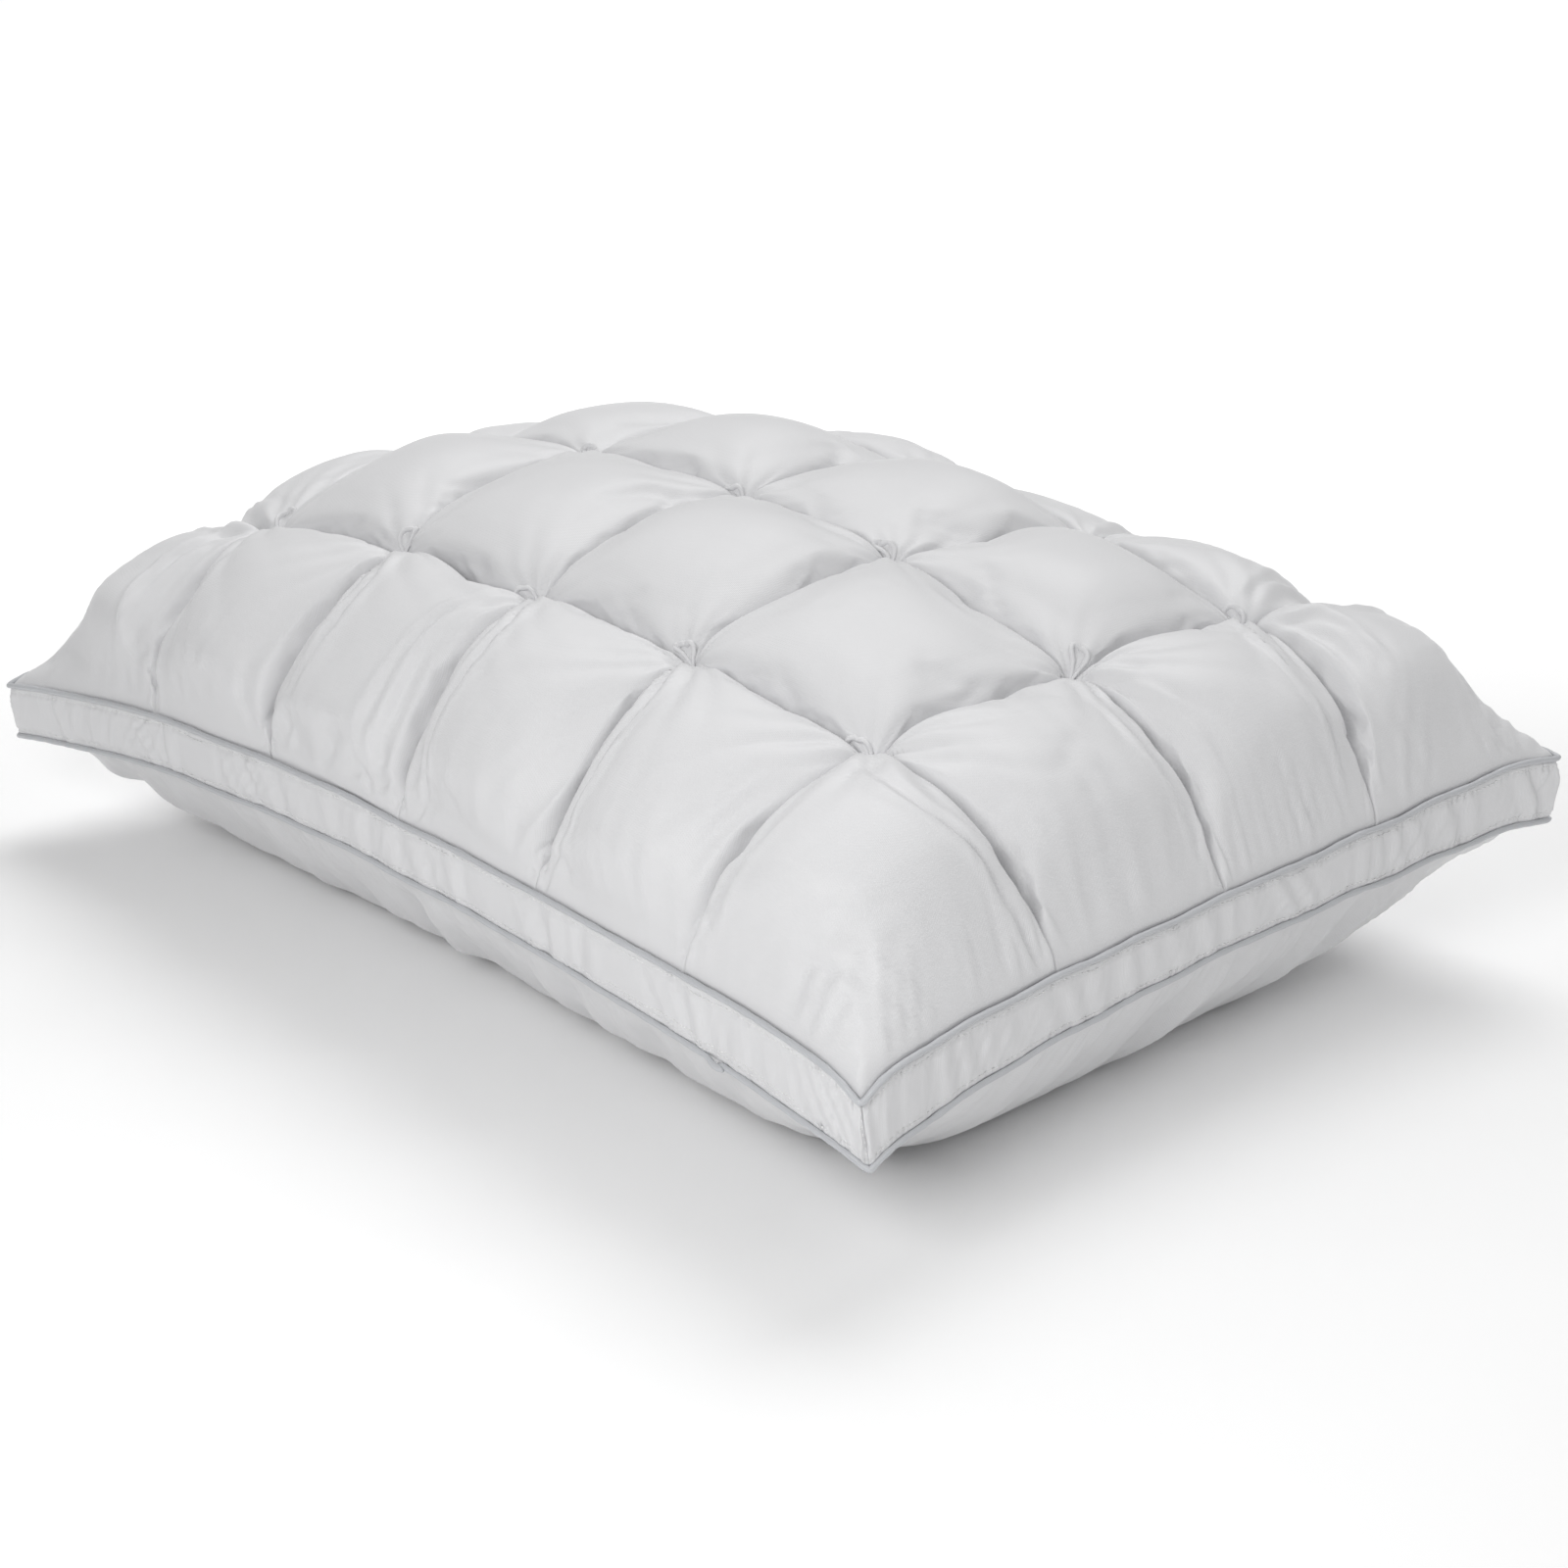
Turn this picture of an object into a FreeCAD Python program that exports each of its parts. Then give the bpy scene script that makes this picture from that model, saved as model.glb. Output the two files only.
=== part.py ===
import FreeCAD, Part
import math
import os
from collections import namedtuple

# Queen-size bed pillow with a gusset, two rows of piping and a puff-quilted top. Millimetres.
# Frame: +X along the long side, +Y along the short side, +Z up. The origin is the middle of the
# flat patch that the pillow rests on.
#
# Every layer is drawn over the same square of coordinates: a and b run from -1 to 1 across the
# cloth, and the quilt's cells are equal steps of them. Two layers whose control points are one
# above the other can't cross, because a spline surface is a weighted mean of its control points.

Vector = FreeCAD.Vector
Level = namedtuple("Level", "height bow corners")

# Outline, along the middle of the piping
LENGTH = 714.0
WIDTH = 510.0
EAR = 11.0  # each corner stands out past the bow of the sides by this much
EAR_SHARPNESS = 8  # the larger, the shorter the ear
CORNER_ROUNDING = 4.0  # and its tip is pulled back in by this much each way
ROUNDING_SHARPNESS = 30

# The seams at the gusset's upper and lower edges: height at the middle of a side, how far the
# sides pull in there, and the height of each corner (front left, front right, back right, back left)
UPPER = Level(112.0, 9.0, (85.0, 105.0, 117.0, 100.0))
LOWER = Level(82.0, 9.0, (54.0, 71.0, 83.0, 69.0))
CORNER_SAG = 1.9  # power of the rim's run down to its corners

# Crown of the quilt's seams above the upper rim, and depth of the belly below the lower rim
CROWN = 108.0
CROWN_POWERS = (4.4, 3.5)
BELLY = 108.0
BELLY_POWERS = (6.8, 3.9)

# Quilting
COLUMNS = 6
ROWS = 4
PUFF = 23.0  # height of a cell's middle above its seams
PUFF_FULLNESS = 0.65  # under 1 makes a cell steep at its seams and flat on top
CELL_MARGIN = 0.07  # share of a cell that its filling keeps clear of each seam
SEAM_STRETCH_X = 0.035  # the inner seams lie this share further out than equal steps
SEAM_STRETCH_Y = (0.18, 0.135)  # the same for the rows: front, where the cloth hangs over, and back
SEAM_GATHER = (0.116, 0.24)  # at the rim the seams come back in by this share
FLAT_TOPPED = 8  # power of the stretch's fade at the outline

# Cloth, thread and cord
CLOTH = 1.0  # thickness, measured straight up
EASE = 0.3  # room between two layers
PANEL_INSET = 2.4  # from the piping's middle to a panel's edge
CORE_INSET = 4.0
PIPING_RADIUS = 1.6
CORD_RADIUS = 1.1
GUSSET_SHARES = (0.07, 0.93)  # the strip's edges, as shares of the way up between the seams
GUSSET_INSET = 0.2
GUSSET_BULGE = 2.5
GUSSET_CLOTH = 0.8
CORNER_GAP = 1.6  # from a gusset strip's end to the corner
THREAD_RADIUS = 0.35
CORNER_THREAD_RADIUS = 0.5
TACK_SHANK = 0.7
TACK_HEAD = 1.7
TACK_HEAD_HEIGHT = 0.8
TACK_HOLE = 1.0
TACK_DEPTH = 2 * CLOTH + 3 * EASE + PUFF * 0.1 + TACK_HEAD_HEIGHT  # to the foot of its knot

# Splines
DEGREE = 3
SPANS_PER_CELL = 6
GUSSET_SPANS = (36, 4)
PATH_STEP = 14.0
CORNER_STEP = 5.0
RING_POLES = 8


def mix(low, high, share):
    return low + (high - low) * share


def fade(x, power):
    return 1 - abs(x) ** power


def plan(u, v, bow, inset):
    """Place in plan of u, v, which run from -1 to 1 between the pulled-in sides."""
    tip = CORNER_ROUNDING * abs(u * v) ** ROUNDING_SHARPNESS
    pull_x = bow * fade(v, 2) + EAR * fade(v, EAR_SHARPNESS) + tip
    pull_y = bow * fade(u, 2) + EAR * fade(u, EAR_SHARPNESS) + tip
    return u * (LENGTH / 2 - inset - pull_x), v * (WIDTH / 2 - inset - pull_y)


def rim_height(u, v, level):
    """Height of a seam level, which sags from the middle of the sides to each corner."""
    front_left, front_right, back_right, back_left = level.corners
    front = mix(front_left, front_right, (u + 1) / 2)
    back = mix(back_left, back_right, (u + 1) / 2)
    corner = mix(front, back, (v + 1) / 2)
    return mix(level.height, corner, abs(u * v) ** CORNER_SAG)


def outline_of(a, b):
    """The place across the outline of a point of the quilted cloth."""
    stretch_u = SEAM_STRETCH_X - SEAM_GATHER[0] * abs(b) ** 4
    stretch_v = SEAM_STRETCH_Y[b > 0] - SEAM_GATHER[1] * abs(a) ** 4
    u = a * (1 + stretch_u * fade(a, FLAT_TOPPED))
    v = b * (1 + stretch_v * fade(b, FLAT_TOPPED))
    return u, v


def puff(a, b):
    """Share of its full height that the puffed cloth has there."""
    wave_a = abs(math.sin(math.pi * COLUMNS * (a + 1) / 2))
    wave_b = abs(math.sin(math.pi * ROWS * (b + 1) / 2))
    return (wave_a * wave_b) ** PUFF_FULLNESS


def quilt_point(a, b, lift, puff_height, inset):
    u, v = outline_of(a, b)
    x, y = plan(u, v, UPPER.bow, inset)
    crown = CROWN * fade(u, CROWN_POWERS[0]) * fade(v, CROWN_POWERS[1])
    return Vector(x, y, rim_height(u, v, UPPER) + crown + lift + puff_height * puff(a, b))


def belly_point(a, b, lift, inset, pressed):
    """The bottom cloth. Pressed, it is flat where it meets what the pillow lies on."""
    u, v = outline_of(a, b)
    x, y = plan(u, v, LOWER.bow, inset)
    belly = BELLY * fade(u, BELLY_POWERS[0]) * fade(v, BELLY_POWERS[1])
    z = rim_height(u, v, LOWER) - belly
    return Vector(x, y, (max(z, 0.0) if pressed else z) + lift)


def girdle_point(u, v, share, outset):
    """A point on the band between the seams: share 0 is the lower seam and 1 the upper one."""
    bulge = GUSSET_BULGE * 4 * share * (1 - share)
    bow = mix(LOWER.bow, UPPER.bow, share)
    x, y = plan(u, v, bow, -outset - bulge)
    return Vector(x, y, mix(rim_height(u, v, LOWER), rim_height(u, v, UPPER), share))


def clamped_knots(spans):
    """Knots from -1 to 1 in equal steps, and how many times each one counts."""
    knots = [mix(-1.0, 1.0, i / spans) for i in range(spans + 1)]
    counts = [DEGREE + 1] + [1] * (spans - 1) + [DEGREE + 1]
    return knots, counts


def pole_places(spans):
    """Where along -1 to 1 each control point belongs, so that even steps stay even."""
    knots, counts = clamped_knots(spans)
    flat = [k for k, n in zip(knots, counts) for _ in range(n)]
    poles = len(flat) - DEGREE - 1
    return [sum(flat[i + 1 : i + 1 + DEGREE]) / DEGREE for i in range(poles)]


def spline_surface(point_at, spans):
    """A surface over a, b from -1 to 1 that follows point_at(a, b)."""
    rows = [[point_at(a, b) for b in pole_places(spans[1])] for a in pole_places(spans[0])]
    knots_a, counts_a = clamped_knots(spans[0])
    knots_b, counts_b = clamped_knots(spans[1])
    surface = Part.BSplineSurface()
    surface.buildFromPolesMultsKnots(
        rows, counts_a, counts_b, knots_a, knots_b, False, False, DEGREE, DEGREE
    )
    return surface


def cloth_surface(point_at):
    return spline_surface(point_at, (COLUMNS * SPANS_PER_CELL, ROWS * SPANS_PER_CELL))


def quilt_surface(lift, puff_height=0.0, inset=PANEL_INSET):
    return cloth_surface(lambda a, b: quilt_point(a, b, lift, puff_height, inset))


def belly_surface(lift, inset, pressed=True):
    return cloth_surface(lambda a, b: belly_point(a, b, lift, inset, pressed))


def closed_solid(faces):
    shell = Part.Compound(faces)
    shell.sewShape()
    solid = Part.Solid(shell.Shells[0] if shell.Shells else Part.Shell(shell.Faces))
    if solid.Volume < 0:
        solid.reverse()
    return solid


def block(lower, upper):
    """The closed solid between two surfaces over the same coordinates."""
    a0, a1, b0, b1 = lower.bounds()
    faces = [lower.toShape(), upper.toShape()]
    for a in (a0, a1):
        faces.append(Part.makeRuledSurface(lower.uIso(a).toShape(), upper.uIso(a).toShape()))
    for b in (b0, b1):
        faces.append(Part.makeRuledSurface(lower.vIso(b).toShape(), upper.vIso(b).toShape()))
    return closed_solid(faces)


def make_top_panel():
    return block(quilt_surface(EASE, PUFF), quilt_surface(EASE + CLOTH, PUFF))


def make_quilt_backing():
    return block(quilt_surface(-CLOTH), quilt_surface(0.0))


def make_cell_filling(column, row):
    """The fibre inside one cell, between the backing and the top panel."""
    width, depth = 2.0 / COLUMNS, 2.0 / ROWS
    a0 = -1 + (column + CELL_MARGIN) * width
    b0 = -1 + (row + CELL_MARGIN) * depth
    a1 = a0 + (1 - 2 * CELL_MARGIN) * width
    b1 = b0 + (1 - 2 * CELL_MARGIN) * depth
    lower = quilt_surface(EASE / 3)
    upper = quilt_surface(EASE / 3, PUFF)
    for surface in (lower, upper):
        surface.segment(a0, a1, b0, b1)
    return block(lower, upper)


def make_core_filling():
    lower = belly_surface(CLOTH + EASE, CORE_INSET)
    upper = quilt_surface(-CLOTH - EASE, inset=CORE_INSET)
    return block(lower, upper)


def make_bottom_panel():
    """The plain panel below, cut level with the patch that it rests on."""
    outside = belly_surface(0.0, PANEL_INSET, pressed=False)
    panel = block(outside, belly_surface(CLOTH, PANEL_INSET))
    return panel.cut(Part.makeBox(LENGTH, WIDTH, BELLY, Vector(-LENGTH / 2, -WIDTH / 2, -BELLY)))


# Each side of the outline, run anticlockwise seen from above, as t goes from -1 to 1
SIDES = {
    "front": lambda t: (t, -1.0),
    "right": lambda t: (1.0, t),
    "back": lambda t: (-t, 1.0),
    "left": lambda t: (-1.0, -t),
}


def half_length(side):
    return (LENGTH if side in ("front", "back") else WIDTH) / 2


def make_gusset(side):
    """One strip of the band between the two rows of piping."""
    reach = 1 - CORNER_GAP / half_length(side)

    def skin(outset):
        def point(s, h):
            u, v = SIDES[side](s * reach)
            return girdle_point(u, v, mix(*GUSSET_SHARES, (h + 1) / 2), outset)

        return spline_surface(point, GUSSET_SPANS)

    return block(skin(-GUSSET_INSET - GUSSET_CLOTH), skin(-GUSSET_INSET))


def along_side(side, start, end):
    """Even steps of t from start to end, each about PATH_STEP long."""
    steps = max(4, math.ceil((end - start) * half_length(side) / PATH_STEP))
    return [mix(start, end, i / steps) for i in range(steps + 1)]


def rod_surface(poles, radius, closed):
    """A round skin whose middle follows the control points."""
    turn = 2 * math.pi / RING_POLES
    reach = 3 * radius / (2 + math.cos(turn))
    rings = []
    for i, pole in enumerate(poles):
        before = poles[i - 1] if closed or i > 0 else pole
        after = poles[(i + 1) % len(poles)] if closed or i < len(poles) - 1 else pole
        ahead = (after - before).normalize()
        across = ahead.cross(Vector(0, 0, 1)).normalize() * reach
        up = across.cross(ahead)
        ways = [across * math.cos(j * turn) + up * math.sin(j * turn) for j in range(RING_POLES)]
        rings.append([pole + way for way in ways])
    if closed:
        knots, counts = list(range(len(poles) + 1)), [1] * (len(poles) + 1)
    else:
        knots, counts = clamped_knots(len(poles) - DEGREE)
    ring_knots, ring_counts = list(range(RING_POLES + 1)), [1] * (RING_POLES + 1)
    surface = Part.BSplineSurface()
    surface.buildFromPolesMultsKnots(
        rings, counts, ring_counts, knots, ring_knots, closed, True, DEGREE, DEGREE
    )
    return surface


def closed_skin(poles, radius, outward):
    skin = Part.Shell([rod_surface(poles, radius, True).toShape()])
    if (Part.Solid(skin).Volume > 0) != outward:
        skin.reverse()
    return skin


def rod(poles, radius):
    """A round rod with flat ends."""
    surface = rod_surface(poles, radius, False)
    start, end = surface.bounds()[:2]
    caps = [Part.Face(Part.Wire(surface.uIso(u).toShape())) for u in (start, end)]
    return closed_solid([surface.toShape()] + caps)


def piping_path(share):
    """Control points once round the outline, closer together at the corners."""
    poles = []
    for side, outline in SIDES.items():
        near_corner = 1 - CORNER_STEP / half_length(side)
        steps = [-1.0] + along_side(side, -near_corner, near_corner)
        poles += [girdle_point(*outline(t), share, 0.0) for t in steps]
    return poles


def make_piping(share):
    """The covered cord of one seam: the bias-cut cover, and the filler cord inside it."""
    poles = piping_path(share)
    outside = closed_skin(poles, PIPING_RADIUS, True)
    inside = closed_skin(poles, CORD_RADIUS, False)
    cover = Part.makeSolid(Part.Compound([outside, inside]))
    return cover, Part.Solid(closed_skin(poles, CORD_RADIUS, True))


def thread_run(side, share, start, end):
    outset = THREAD_RADIUS + EASE / 3 - GUSSET_INSET
    poles = [girdle_point(*SIDES[side](t), share, outset) for t in along_side(side, start, end)]
    return rod(poles, THREAD_RADIUS)


def make_topstitch(share):
    """The thread that holds one edge of the gusset, a run on each side."""
    return Part.Compound([thread_run(side, share, -0.985, 0.985) for side in SIDES])


def make_closing_seam():
    """The second row of stitches that shuts the filling opening, on the front side."""
    return thread_run("front", 0.21, 0.46, 0.84)


def make_corner_stitches():
    """The thread that joins the gusset strips at each corner."""
    rods = []
    for u, v in ((-1, -1), (1, -1), (1, 1), (-1, 1)):
        ends = [girdle_point(u, v, share, -CORNER_GAP / 2) for share in (0.5, 0.12, 0.88)]
        foot = Vector(ends[0].x, ends[0].y, ends[1].z)
        rods.append(Part.makeCylinder(CORNER_THREAD_RADIUS, ends[2].z - ends[1].z, foot))
    return Part.Compound(rods)


def tack_places():
    """Where the quilt's seams cross, and the way out of the cloth there."""
    cloth = quilt_surface(EASE + CLOTH, PUFF)
    for column in range(1, COLUMNS):
        for row in range(1, ROWS):
            a, b = -1 + 2 * column / COLUMNS, -1 + 2 * row / ROWS
            out = cloth.normal(a, b)
            yield cloth.value(a, b), out if out.z > 0 else -out


def tack(place, out):
    """A thread tack: a shank through both cloths, with a head outside and a knot inside."""
    inner = place - out * TACK_DEPTH
    outer = place + out * EASE
    shank = Part.makeCylinder(TACK_SHANK, (outer - inner).Length, inner, out)
    heads = [Part.makeCylinder(TACK_HEAD, TACK_HEAD_HEIGHT, at, out) for at in (inner, outer)]
    return shank.fuse(heads).removeSplitter()


def tack_room(place, out, radius, depth):
    """A hole through the cloths around a tack, or a pocket for its knot."""
    return Part.makeCylinder(radius, depth + 2 * EASE, place - out * depth, out)


def build():
    parts = {
        "top_panel": make_top_panel(),
        "quilt_backing": make_quilt_backing(),
        "core_filling": make_core_filling(),
        "bottom_panel": make_bottom_panel(),
    }
    for column in range(COLUMNS):
        for row in range(ROWS):
            parts[f"cell_filling_c{column + 1}_r{row + 1}"] = make_cell_filling(column, row)
    places = list(tack_places())
    parts["tuck_tacks"] = Part.Compound([tack(*place) for place in places])
    holes = [tack_room(*place, TACK_HOLE, TACK_DEPTH) for place in places]
    pockets = [tack_room(*place, TACK_HEAD + EASE, TACK_DEPTH + EASE) for place in places]
    parts["top_panel"] = parts["top_panel"].cut(holes)
    parts["quilt_backing"] = parts["quilt_backing"].cut(holes)
    parts["core_filling"] = parts["core_filling"].cut(pockets)
    for side in SIDES:
        parts[f"gusset_{side}"] = make_gusset(side)
    parts["top_piping_cover"], parts["top_piping_cord"] = make_piping(1.0)
    parts["bottom_piping_cover"], parts["bottom_piping_cord"] = make_piping(0.0)
    parts["upper_topstitch"] = make_topstitch(0.84)
    parts["lower_topstitch"] = make_topstitch(0.14)
    parts["closing_seam"] = make_closing_seam()
    parts["gusset_corner_stitches"] = make_corner_stitches()
    return parts


os.makedirs("parts", exist_ok=True)
for name, shape in build().items():
    solids = shape.Solids
    volume = sum(solid.Volume for solid in solids)
    print(f"{name}: {len(solids)} solid(s), {volume / 1000:.1f} cm3, valid {shape.isValid()}")
    shape.exportStep(f"parts/{name}.step")
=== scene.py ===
import math

import bpy
import numpy as np
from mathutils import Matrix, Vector


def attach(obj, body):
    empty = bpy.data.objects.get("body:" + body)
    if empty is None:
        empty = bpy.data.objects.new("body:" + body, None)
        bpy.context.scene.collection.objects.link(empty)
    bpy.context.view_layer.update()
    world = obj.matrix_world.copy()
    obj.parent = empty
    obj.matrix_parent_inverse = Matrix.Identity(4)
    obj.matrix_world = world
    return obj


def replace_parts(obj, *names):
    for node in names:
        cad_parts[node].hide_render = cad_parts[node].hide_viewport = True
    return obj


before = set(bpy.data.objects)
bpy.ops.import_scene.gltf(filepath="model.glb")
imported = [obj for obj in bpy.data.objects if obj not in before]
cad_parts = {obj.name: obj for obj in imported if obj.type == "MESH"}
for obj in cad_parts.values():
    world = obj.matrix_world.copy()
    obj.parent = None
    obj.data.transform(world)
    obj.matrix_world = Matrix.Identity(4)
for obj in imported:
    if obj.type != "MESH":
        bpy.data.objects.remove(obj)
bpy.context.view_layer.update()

# A queen-size bed pillow: a gusset, two rows of piping, and a top quilted in 6 x 4 puffed cells.
# Metres, in the CAD's frame. The cloth is drawn over a square of coordinates, a and b from -1 to 1.

# Outline and heights. The sides, rims and belly are the CAD's. The crown is 4 mm lower than it, and
# the corners' tips are shaped a little differently.
LENGTH, WIDTH = 0.714, 0.510
BOW = 0.009
EAR, EAR_SHARPNESS = 0.011, 8
# How much each corner is rounded, at the lower and the upper piping
# (front left, front right, back right, back left)
TIP_RADIUS = ((0.006, 0.012, 0.007, 0.007), (0.004, 0.010, 0.006, 0.005))
# Height of each rim: at the middle of a side, at its corners, and how far each tip droops
# (front left, front right, back right, back left)
UPPER_RIM = (0.112, (0.085, 0.110, 0.120, 0.100), (0.0, 0.011, 0.004, 0.0))
LOWER_RIM = (0.082, (0.054, 0.070, 0.083, 0.069), (0.0, 0.005, 0.002, 0.0))
DROOP_SHARPNESS = 20
CORNER_SAG = 1.9
TIP_SPREAD = 0.55
TIP_LEAN = 0.003  # how far the front right tip of the upper piping leans out of line
CROWN, CROWN_POWERS = 0.104, (4.4, 3.5)
BELLY, BELLY_POWERS = 0.108, (6.8, 3.9)
RIM_WAVER = 0.0005

# Quilting
COLUMNS, ROWS = 6, 4
CELL = (0.116, 0.124)
SEAM_STRETCH_X = 0.035
SEAM_STRETCH_Y = (0.18, 0.135)
SEAM_GATHER = (0.116, 0.24)
SEAM_WANDER = 0.0013
# How the filling pushes some of the quilt's pinches out of line: (column, row): way
NUDGES = {
    (1, 1): (0.000, -0.002, -0.004),
    (2, 1): (0.000, 0.000, -0.005),
    (1, 2): (-0.006, 0.000, -0.004),
    (2, 2): (-0.008, 0.000, 0.002),
    (3, 2): (-0.003, 0.000, 0.006),
    (4, 2): (-0.006, -0.002, 0.002),
    (5, 2): (0.000, 0.000, -0.008),
    (1, 3): (0.000, 0.000, -0.014),
    (2, 3): (0.000, 0.000, -0.003),
    (3, 3): (0.000, 0.000, -0.003),
    (4, 3): (0.006, 0.004, -0.006),
    (5, 3): (-0.002, -0.002, -0.004),
}
WALL, WALL_REACH = 0.0140, 0.045
LEAN_REACH = 0.018
RIM_REACH = 0.052
DOME = 0.0110
# How much fuller the outer puffs are: at the long sides, the right side, its front and back corners,
# and the left corners
FULLNESS = (0.15, 0.25, 0.75, 0.25, 0.20)
OVERHANG = 0.0038
SLUMP = 0.006
SEAM_DROP = 0.006
PINCH_DEPTH, PINCH_RADIUS = 0.0015, 0.008
PINCH_TAPER, PINCH_REACH = 0.50, 0.013
PINCH_CLOTH, PINCH_FADE = 0.0080, 0.026
# Heights of the drawn folds: fans round the pinches, folds beside the outer seams, tucks and gathers
FOLD = 0.0025
LONG_FOLD = 0.0030
PLEAT = 0.0022
RIM_PUCKER = 0.0014
BELLY_FOLD, BELLY_GATHER = 0.0016, 0.0007

# Cloth simulation of the quilt
CLOTH_FRAMES = 24
CLOTH_PRESSURE = 1.5
CLOTH_BENDING = 0.10
EXTRA_CLOTH = (0.010, 0.045)  # as a share of its size: in the middle of the quilt, and at its rim
EXTRA_REACH = 0.03
STILL_RIM, FREE_RIM = 0.004, 0.028  # from the rim: where the simulated move begins, and is whole

# Grids
CELL_STEPS = (56, 60)
CROWDING = 0.5  # how much closer together the grid's lines are at a seam
BACK_STEP = 4  # the hidden back of a cushion has every fourth row and column of its cloth
BELLY_GRID = (241, 181)
GUSSET_STEP, GUSSET_ROWS = 0.0016, 25
PIPING_STEP, PIPING_SIDES = 0.003, 16

# Sewing
PANEL_INSET = 0.0012
CORE_INSET = 0.004
PIPING_RADIUS = 0.0015
PIPING_OUTSET = 0.0005
PIPING_JOIN = 0.68  # where on the front side the lower piping's ends meet
GUSSET_CLOTH = 0.0008
GUSSET_BULGE = 0.0014
GUSSET_FOLD = 0.0008
GUSSET_LAP = 0.0013  # how far the lapped edge of a corner seam stands out
GUSSET_TUCK = 0.0015  # how far the strip's edges tuck in behind the piping
STITCH_SHARES = (0.13, 0.87)
STITCH, STITCH_SHARE = 0.003, 0.72  # from one stitch to the next, and how much of that is thread
THREAD_RADIUS = 0.00030
STITCH_SIDES = 6
# Along a stitch: how far, how thick, and how far off the cloth, the last two in thread radii
STITCH_SHAPE = ((0, 0.55, -0.9), (0.16, 1, 0.15), (0.5, 1.08, 0.35), (0.84, 1, 0.15), (1, 0.55, -0.9))
CLOSING_SPAN = (0.46, 0.84)  # where the closing seam starts and ends on the front side
SEED = 11

# Camera: angles in degrees, places in metres and the lens in millimetres
VIEW_AZIMUTH, VIEW_ELEVATION, VIEW_DISTANCE = 47.06, 23.6, 1.578
VIEW_TARGET = (0.0934, -0.0590, 0.109)
LENS = 70.6


# --- the shape -------------------------------------------------------------------------------


def fade(x, power):
    return 1 - np.abs(x) ** power


def smooth(x):
    x = np.clip(x, 0, 1)
    return x * x * (3 - 2 * x)


def waves(seed, wavelength, *along, spread=0.45, count=9):
    """Smooth random waves over one or more coordinates in metres, of about unit size."""
    rng = np.random.default_rng(seed)
    total = 0.0
    for _ in range(count):
        way = rng.normal(size=len(along))
        way /= np.linalg.norm(way)
        pitch = 2 * np.pi / (wavelength * (1 + spread * rng.uniform(-1, 1)))
        phase = sum(w * x for w, x in zip(way, along)) * pitch + rng.uniform(0, 2 * np.pi)
        total = total + np.sin(phase)
    return total * math.sqrt(2 / count)


def plan(u, v, inset, share=1.0):
    """The place in plan. share is how far up it is between the two rows of piping."""
    lower, upper = (between_corners(u, v, radii) for radii in TIP_RADIUS)
    radius = lower * (1 - share) + upper * share
    spread = TIP_SPREAD / radius
    tip = radius * np.abs(v) ** (WIDTH / 2 * spread) * np.abs(u) ** (LENGTH / 2 * spread)
    lean = TIP_LEAN * share * ((1 + u) * (1 - v) / 4) ** 14
    pull_x = BOW * fade(v, 2) + EAR * fade(v, EAR_SHARPNESS) + tip
    pull_y = BOW * fade(u, 2) + EAR * fade(u, EAR_SHARPNESS) + tip
    return u * (LENGTH / 2 - inset - pull_x) - lean, v * (WIDTH / 2 - inset - pull_y) - lean


def between_corners(u, v, values):
    """A value blended from those at the four corners."""
    front_left, front_right, back_right, back_left = values
    right, back = (u + 1) / 2, (v + 1) / 2
    front = front_left * (1 - right) + front_right * right
    rear = back_left * (1 - right) + back_right * right
    return front * (1 - back) + rear * back


def rim_height(u, v, rim):
    """Height of one row of piping: the corners sag, the tips droop, and it wavers a little."""
    middle, corners, droops = rim
    corner, droop = between_corners(u, v, corners), between_corners(u, v, droops)
    waver = RIM_WAVER * waves(3, 0.07, u * LENGTH / 2, v * WIDTH / 2)
    sag = (corner - middle) * np.abs(u * v) ** CORNER_SAG
    reach = (1 - np.abs(u * v)) * DROOP_SHARPNESS
    return middle + sag - droop * np.exp(0.4 - np.sqrt(reach ** 2 + 0.16)) + waver


def outline_of(a, b):
    """The quilt's coordinates stretched so that its seams lie where the filling pushes them."""
    stretch_u = SEAM_STRETCH_X - SEAM_GATHER[0] * np.abs(b) ** 4
    stretch_v = np.where(b > 0, SEAM_STRETCH_Y[1], SEAM_STRETCH_Y[0]) - SEAM_GATHER[1] * np.abs(a) ** 4
    return a * (1 + stretch_u * fade(a, 8)), b * (1 + stretch_v * fade(b, 5.5))


def dome(a, b, inset=PANEL_INSET):
    """The crowned surface that the quilt's seams lie on."""
    u, v = outline_of(a, b)
    x, y = plan(u, v, inset)
    crown = CROWN * fade(u, CROWN_POWERS[0]) * fade(v, CROWN_POWERS[1])
    points = np.stack([x, y, rim_height(u, v, UPPER_RIM) + crown], -1)
    inner = (fade(a, 8) * fade(b, 8))[..., None]
    wander = np.stack([waves(7, 0.11, x, y), waves(8, 0.11, x, y), waves(9, 0.15, x, y)], -1)
    points = points + SEAM_WANDER * wander * inner
    for (i, j), way in NUDGES.items():
        da, db = a + 1 - 2 * i / COLUMNS, b + 1 - 2 * j / ROWS
        near = np.exp(-((da / 0.30) ** 2) - (db / 0.42) ** 2)[..., None]
        points = points + np.array(way) * near * inner
    return points


def belly(a, b):
    """The underside before it is flattened by what it rests on."""
    u, v = outline_of(a, b)
    x, y = plan(u, v, PANEL_INSET, 0.0)
    depth = BELLY * fade(u, BELLY_POWERS[0]) * fade(v, BELLY_POWERS[1])
    return np.stack([x, y, rim_height(u, v, LOWER_RIM) - depth], -1)


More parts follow.
